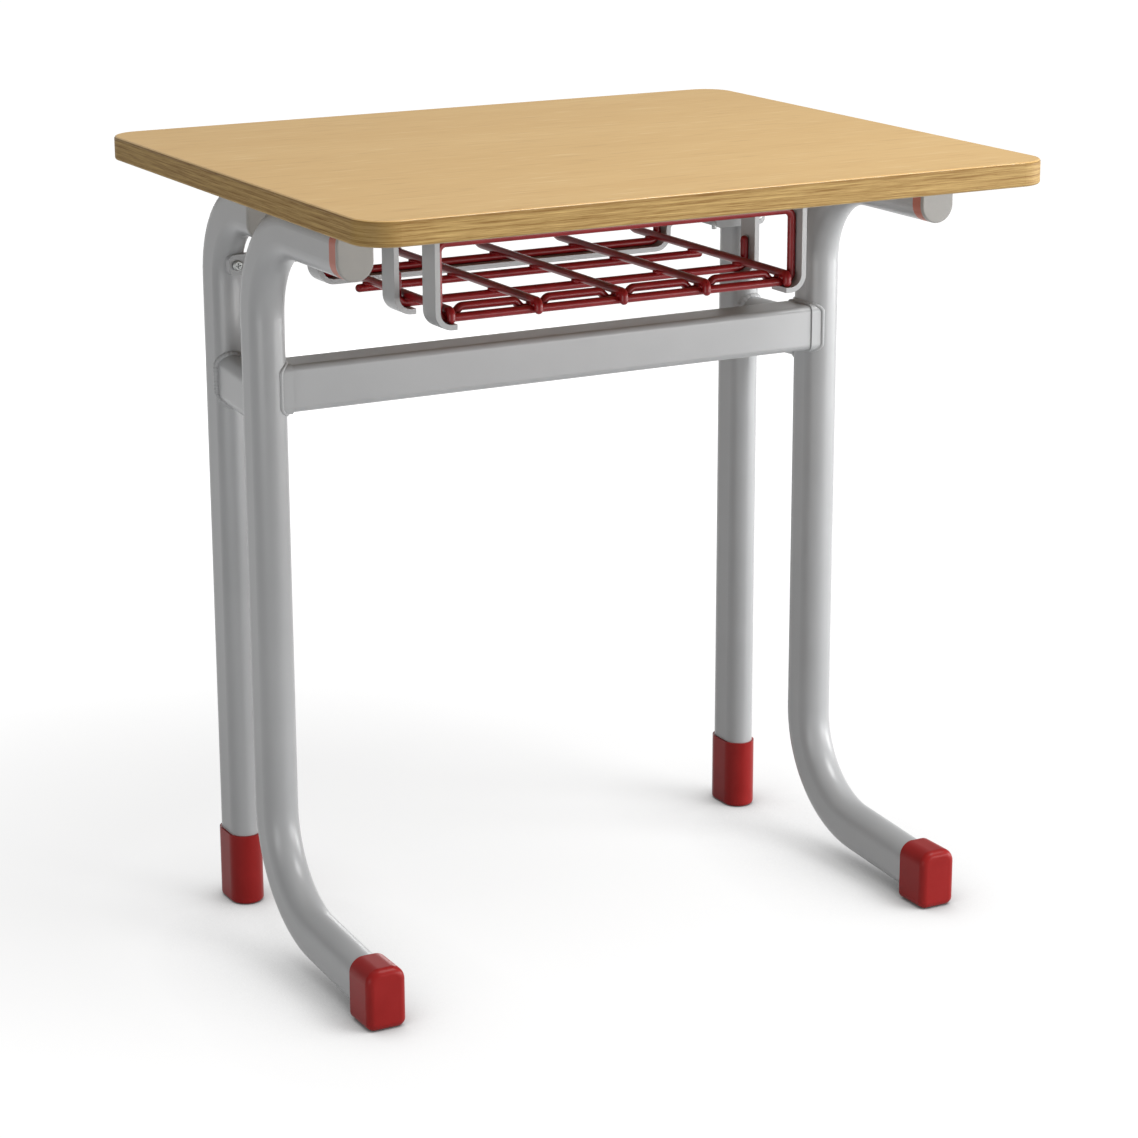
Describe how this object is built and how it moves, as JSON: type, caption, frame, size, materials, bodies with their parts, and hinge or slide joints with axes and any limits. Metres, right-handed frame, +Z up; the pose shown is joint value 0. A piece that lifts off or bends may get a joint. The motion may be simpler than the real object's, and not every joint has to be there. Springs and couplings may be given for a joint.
{
  "type": "study desk",
  "caption": "Free-standing single study desk with a rounded wood-laminate board on a welded grey oval-tube frame and a red wire book basket under the board.",
  "frame": {"origin": "on the floor, below the middle of the board", "axes": "+X along the width of the board to the sitter's right, -Y towards the sitter, +Z up"},
  "size_m": [0.7, 0.6, 0.76],
  "materials": {
    "oak_laminate": "satin wood-grain laminate",
    "plywood_edge": "lacquered plywood edge with visible layers",
    "backing_laminate": "matt balancing laminate",
    "grey_paint": "satin light grey powder coat",
    "red_wire_coating": "semi-gloss dark red dip coat",
    "red_cap_plastic": "satin dark red plastic",
    "band_plastic": "satin light red plastic",
    "plug_plastic": "satin light grey plastic",
    "zinc_screw": "zinc plated"
  },
  "bodies": {
    "root": {"basket_back_wire": "red_wire_coating", "basket_front_loop": "red_wire_coating", "basket_lip_wire": "red_wire_coating", "basket_middle_wire": "red_wire_coating", "basket_rear_wire": "red_wire_coating", "basket_third_wire": "red_wire_coating", "board_screws": "zinc_screw", "bracket_bolts": "zinc_screw", "cross_rail": "grey_paint", "cross_wire_centre": "red_wire_coating", "cross_wire_far_left": "red_wire_coating", "cross_wire_far_right": "red_wire_coating", "cross_wire_left": "red_wire_coating", "cross_wire_right": "red_wire_coating", "desktop_backing_laminate": "backing_laminate", "desktop_core": "plywood_edge", "desktop_top_laminate": "oak_laminate", "left_arm_band": "band_plastic", "left_arm_plug": "plug_plastic", "left_c_leg": "grey_paint", "left_front_arm_tab": "grey_paint", "left_front_foot_cap": "red_cap_plastic", "left_front_strap": "grey_paint", "left_leg_link": "grey_paint", "left_middle_arm_tab": "grey_paint", "left_middle_strap": "grey_paint", "left_rail_end_plate": "grey_paint", "left_rear_arm_plug": "plug_plastic", "left_rear_arm_tab": "grey_paint", "left_rear_bracket": "grey_paint", "left_rear_foot_cap": "red_cap_plastic", "left_rear_leg": "grey_paint", "leg_screws": "zinc_screw", "rear_hanger": "grey_paint", "right_arm_band": "band_plastic", "right_arm_plug": "plug_plastic", "right_c_leg": "grey_paint", "right_front_arm_tab": "grey_paint", "right_front_foot_cap": "red_cap_plastic", "right_front_strap": "grey_paint", "right_leg_link": "grey_paint", "right_middle_arm_tab": "grey_paint", "right_middle_strap": "grey_paint", "right_rail_end_plate": "grey_paint", "right_rear_arm_plug": "plug_plastic", "right_rear_arm_tab": "grey_paint", "right_rear_bracket": "grey_paint", "right_rear_foot_cap": "red_cap_plastic", "right_rear_leg": "grey_paint", "strap_screws": "zinc_screw"}
  },
  "joints": []
}
